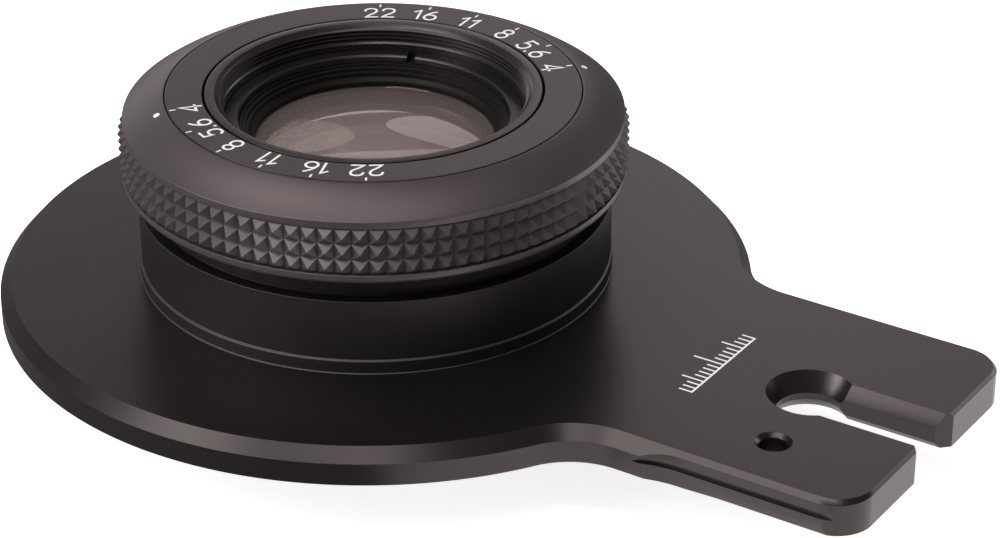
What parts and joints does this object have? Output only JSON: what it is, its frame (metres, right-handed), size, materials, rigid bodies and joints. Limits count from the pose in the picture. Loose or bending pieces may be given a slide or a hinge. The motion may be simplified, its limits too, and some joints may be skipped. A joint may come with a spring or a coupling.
{
  "type": "enlarging lens on a lens board",
  "caption": "Enlarging lens with a knurled click-stop aperture ring and a working iris, clamped in a round lens board with a slotted tab.",
  "frame": {"origin": "on the optical axis at the board's rear face", "axes": "+Z along the optical axis towards the front of the lens, -Y along the board's tab"},
  "size_m": [0.1, 0.1326, 0.0407],
  "materials": {
    "anodised_board": "satin black anodised, fine grain",
    "anodised_barrel": "smooth satin black anodised",
    "anodised_ring": "satin black anodised, turned and knurled",
    "anodised_face": "satin black anodised, fine turning marks",
    "anodised_cell": "semi-gloss black anodised",
    "anodised_satin": "satin black anodised",
    "matt_black": "matt black anti-reflection finish",
    "coated_glass": "polished optical glass with a faint purple coating",
    "crown_glass": "polished optical glass",
    "flint_glass": "polished optical glass, slightly warm",
    "brass_plate": "blackened brass plate",
    "turned_steel": "fine turned steel",
    "blade_steel": "blackened spring steel leaf",
    "bearing_steel": "polished steel",
    "white_paint": "white filled dot"
  },
  "bodies": {
    "lens_body": {"lens_board": "anodised_board", "barrel": "anodised_barrel", "jam_nut": "anodised_satin", "name_ring": "anodised_face", "front_cell": "anodised_cell", "front_retaining_ring": "matt_black", "front_baffle": "matt_black", "front_element": "coated_glass", "front_spacer": "matt_black", "front_crown": "crown_glass", "front_flint": "flint_glass", "rear_flint": "flint_glass", "rear_crown": "crown_glass", "rear_spacer": "matt_black", "rear_element": "coated_glass", "rear_cell": "anodised_cell", "rear_retaining_ring": "matt_black", "iris_base": "brass_plate", "iris_retainer": "turned_steel", "click_spring": "bearing_steel"},
    "aperture_drive": {"aperture_ring": "anodised_ring", "index_dots": "white_paint", "drive_arm": "turned_steel", "drive_screw": "turned_steel", "iris_drive_ring": "turned_steel"},
    "click_detent": {"click_ball": "bearing_steel"},
    "blade_1": {"iris_blade_1": "blade_steel"},
    "blade_2": {"iris_blade_2": "blade_steel"},
    "blade_3": {"iris_blade_3": "blade_steel"},
    "blade_4": {"iris_blade_4": "blade_steel"},
    "blade_5": {"iris_blade_5": "blade_steel"}
  },
  "joints": [
    {"name": "aperture_turn", "type": "hinge", "parent": "lens_body", "child": "aperture_drive", "pos_m": [0, 0, 0.0232], "axis": [0, 0, 1], "range_deg": [0, 75]},
    {"name": "click_travel", "type": "slide", "parent": "lens_body", "child": "click_detent", "axis": [0, 0, 1], "range_m": [0, 0.00035], "stiffness_N_per_m": 200, "deforming": ["click_spring"]},
    {"name": "blade_1_swing", "type": "hinge", "parent": "lens_body", "child": "blade_1", "pos_m": [0.021, 0, 0.0075], "axis": [0, 0, 1], "range_deg": [0, 27.4]},
    {"name": "blade_2_swing", "type": "hinge", "parent": "lens_body", "child": "blade_2", "pos_m": [0.00649, 0.01997, 0.0075], "axis": [0, 0, 1], "range_deg": [0, 27.4]},
    {"name": "blade_3_swing", "type": "hinge", "parent": "lens_body", "child": "blade_3", "pos_m": [-0.01699, 0.01234, 0.0075], "axis": [0, 0, 1], "range_deg": [0, 27.4]},
    {"name": "blade_4_swing", "type": "hinge", "parent": "lens_body", "child": "blade_4", "pos_m": [-0.01699, -0.01234, 0.0075], "axis": [0, 0, 1], "range_deg": [0, 27.4]},
    {"name": "blade_5_swing", "type": "hinge", "parent": "lens_body", "child": "blade_5", "pos_m": [0.00649, -0.01997, 0.0075], "axis": [0, 0, 1], "range_deg": [0, 27.4]}
  ],
  "couplings": [
    {"joint": "blade_1_swing", "follows": "aperture_turn", "ratio": 0.364},
    {"joint": "blade_2_swing", "follows": "aperture_turn", "ratio": 0.364},
    {"joint": "blade_3_swing", "follows": "aperture_turn", "ratio": 0.364},
    {"joint": "blade_4_swing", "follows": "aperture_turn", "ratio": 0.364},
    {"joint": "blade_5_swing", "follows": "aperture_turn", "ratio": 0.364}
  ]
}
